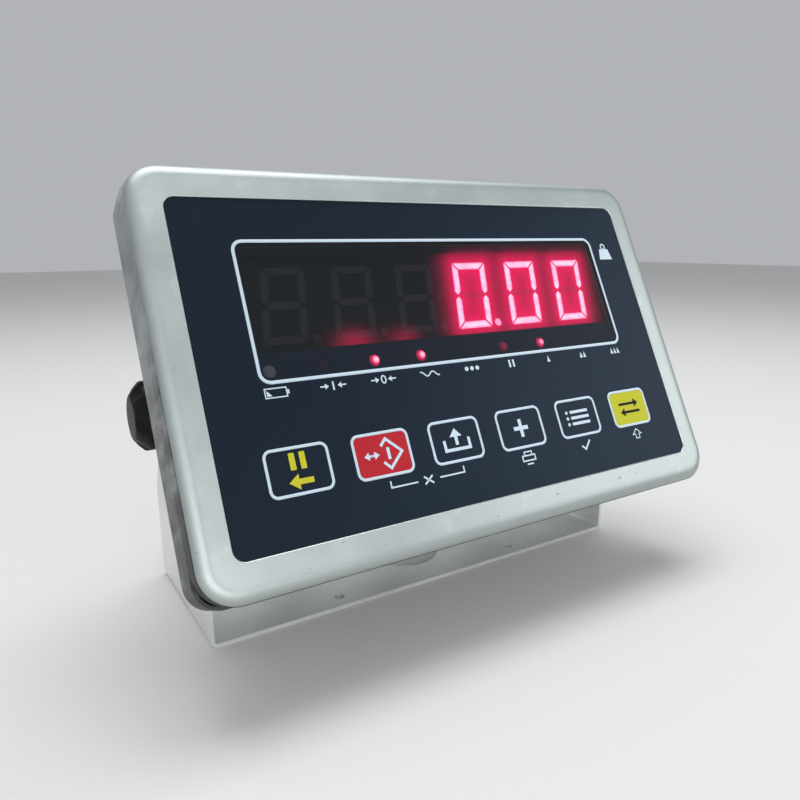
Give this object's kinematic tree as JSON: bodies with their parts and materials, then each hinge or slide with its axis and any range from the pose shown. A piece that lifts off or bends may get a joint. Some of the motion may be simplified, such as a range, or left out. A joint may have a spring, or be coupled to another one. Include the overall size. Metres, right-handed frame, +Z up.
{
  "type": "weighing indicator",
  "caption": "Stainless panel weighing indicator with a red seven-segment display and membrane keys, tilting in a U-shaped bracket with two clamp knobs.",
  "frame": {"origin": "centre of the underside of the bracket's base, on the mounting surface", "axes": "+Z up from the mounting surface, the display faces -Y leaning back, +X to the viewer's right along the display"},
  "size_m": [0.254, 0.1325, 0.1865],
  "materials": {
    "bracket_steel": "fine brushed stainless sheet",
    "cover_steel": "bead-blasted stainless sheet",
    "case_steel": "bead-blasted stainless sheet",
    "post_steel": "plain turned steel",
    "screw_steel": "zinc plated",
    "dome_steel": "bright spring steel",
    "rubber": "matt black rubber",
    "overlay": "fine matt printed polyester film",
    "window": "smoked clear film",
    "spacer": "dark adhesive foam",
    "circuit_film": "clear polyester with silver tracks",
    "key_red": "fine matt printed polyester film",
    "key_yellow": "fine matt printed polyester film",
    "digit_black": "matt black face",
    "segment_dark": "unlit grey diffuser",
    "segment_lit": "lit red diffuser",
    "lamp_red": "clear red resin",
    "board_green": "solder mask",
    "brass": "plain turned",
    "chip_black": "moulded",
    "capacitor_blue": "sleeved can",
    "terminal_green": "moulded",
    "ribbon_grey": "flat cable",
    "battery_dark": "moulded case",
    "core_iron": "varnished sheet stack",
    "winding_yellow": "taped winding",
    "gland_black": "moulded nylon",
    "knob_black": "moulded thermoset"
  },
  "bodies": {
    "bracket": {"bracket": "bracket_steel", "friction_washers": "rubber"},
    "housing": {"front_cover": "cover_steel", "rear_case": "case_steel", "case_gasket": "rubber", "cover_posts": "post_steel", "case_screws": "screw_steel", "membrane_overlay": "overlay", "display_window": "window", "membrane_spacer": "spacer", "membrane_circuit": "circuit_film", "key_domes": "dome_steel", "digit_1": "digit_black", "digit_2": "digit_black", "digit_3": "digit_black", "digit_4": "digit_black", "digit_5": "digit_black", "digit_6": "digit_black", "segments_1": "segment_dark", "segments_2": "segment_dark", "segments_3": "segment_dark", "segments_4": "segment_lit", "segments_5": "segment_lit", "segments_6": "segment_lit", "status_lamps": "lamp_red", "display_board": "board_green", "display_standoffs": "brass", "display_screws": "screw_steel", "main_board": "board_green", "board_standoffs": "brass", "board_screws": "screw_steel", "board_chips": "chip_black", "capacitors": "capacitor_blue", "terminal_block": "terminal_green", "ribbon_cable": "ribbon_grey", "battery": "battery_dark", "battery_strap": "screw_steel", "transformer_core": "core_iron", "transformer_winding": "winding_yellow", "gland_bodies": "gland_black", "gland_caps": "gland_black", "gland_seals": "rubber", "gland_locknuts": "gland_black", "weld_nuts": "screw_steel"},
    "knob_left": {"knob_left": "knob_black", "stud_left": "screw_steel", "plate_washer_left": "screw_steel"},
    "knob_right": {"knob_right": "knob_black", "stud_right": "screw_steel", "plate_washer_right": "screw_steel"},
    "key_hold": {"key_hold": "overlay"},
    "key_tare": {"key_tare": "key_red"},
    "key_recall": {"key_recall": "overlay"},
    "key_add": {"key_add": "overlay"},
    "key_mode": {"key_mode": "overlay"},
    "key_unit": {"key_unit": "key_yellow"}
  },
  "joints": [
    {"name": "tilt", "type": "hinge", "parent": "bracket", "child": "housing", "pos_m": [0, 0, 0.0895], "axis": [-1, 0, 0], "range_deg": [-14, 60]},
    {"name": "knob_left_turn", "type": "hinge", "parent": "housing", "child": "knob_left", "pos_m": [-0.119, 0, 0.0895], "axis": [-1, 0, 0], "range_deg": [0, 720]},
    {"name": "knob_right_turn", "type": "hinge", "parent": "housing", "child": "knob_right", "pos_m": [0.119, 0, 0.0895], "axis": [1, 0, 0], "range_deg": [0, 720]},
    {"name": "key_hold_press", "type": "slide", "parent": "housing", "child": "key_hold", "axis": [0, 0.8957, -0.4446], "range_m": [0, 0.0004], "stiffness_N_per_m": 2000, "springref_m": -0.0002},
    {"name": "key_tare_press", "type": "slide", "parent": "housing", "child": "key_tare", "axis": [0, 0.8957, -0.4446], "range_m": [0, 0.0004], "stiffness_N_per_m": 2000, "springref_m": -0.0002},
    {"name": "key_recall_press", "type": "slide", "parent": "housing", "child": "key_recall", "axis": [0, 0.8957, -0.4446], "range_m": [0, 0.0004], "stiffness_N_per_m": 2000, "springref_m": -0.0002},
    {"name": "key_add_press", "type": "slide", "parent": "housing", "child": "key_add", "axis": [0, 0.8957, -0.4446], "range_m": [0, 0.0004], "stiffness_N_per_m": 2000, "springref_m": -0.0002},
    {"name": "key_mode_press", "type": "slide", "parent": "housing", "child": "key_mode", "axis": [0, 0.8957, -0.4446], "range_m": [0, 0.0004], "stiffness_N_per_m": 2000, "springref_m": -0.0002},
    {"name": "key_unit_press", "type": "slide", "parent": "housing", "child": "key_unit", "axis": [0, 0.8957, -0.4446], "range_m": [0, 0.0004], "stiffness_N_per_m": 2000, "springref_m": -0.0002}
  ]
}
